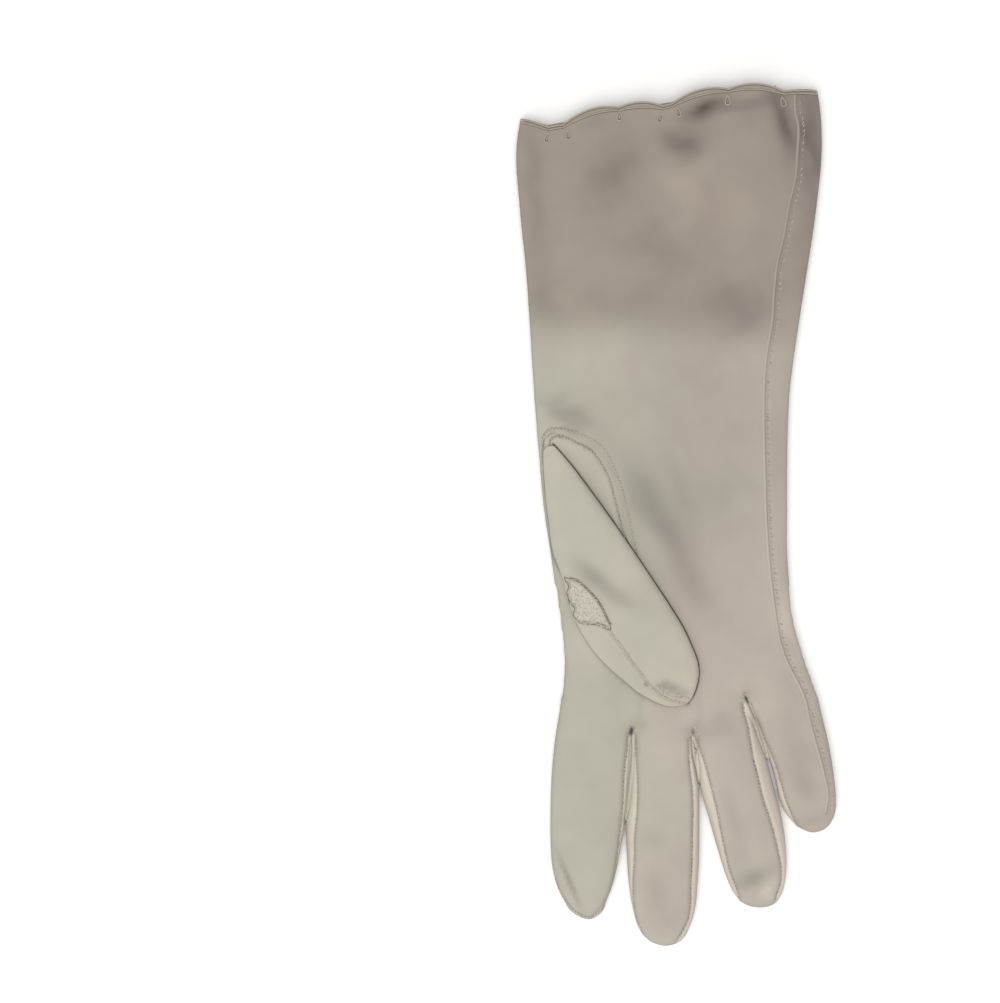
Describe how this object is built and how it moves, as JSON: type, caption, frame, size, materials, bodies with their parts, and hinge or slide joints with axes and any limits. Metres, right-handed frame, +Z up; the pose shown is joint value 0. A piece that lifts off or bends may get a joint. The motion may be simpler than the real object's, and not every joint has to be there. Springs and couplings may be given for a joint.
{
  "type": "embroidered dress glove",
  "caption": "Gauntlet-length fabric dress glove with a scalloped, embroidered cuff, lying palm up with the thumb folded over the palm.",
  "frame": {"origin": "centre of the glove's footprint on the surface it lies on", "axes": "+Z up out of the palm, +Y towards the cuff, fingers towards -Y, little finger towards +X"},
  "size_m": [0.1092, 0.2936, 0.0158],
  "materials": {
    "glove_cloth": "matte",
    "fourchette_cloth": "matte",
    "gusset_cloth": "matte",
    "seam_cloth": "matte",
    "embroidery_thread": "satin"
  },
  "bodies": {
    "root": {"trank": "glove_cloth", "fourchette_index_middle": "fourchette_cloth", "fourchette_middle_ring": "fourchette_cloth", "fourchette_ring_little": "fourchette_cloth", "thumb": "glove_cloth", "thumb_gusset": "gusset_cloth", "side_seam_welt": "seam_cloth", "scallop_border_palm": "embroidery_thread", "scallop_border_back": "embroidery_thread"}
  },
  "joints": []
}
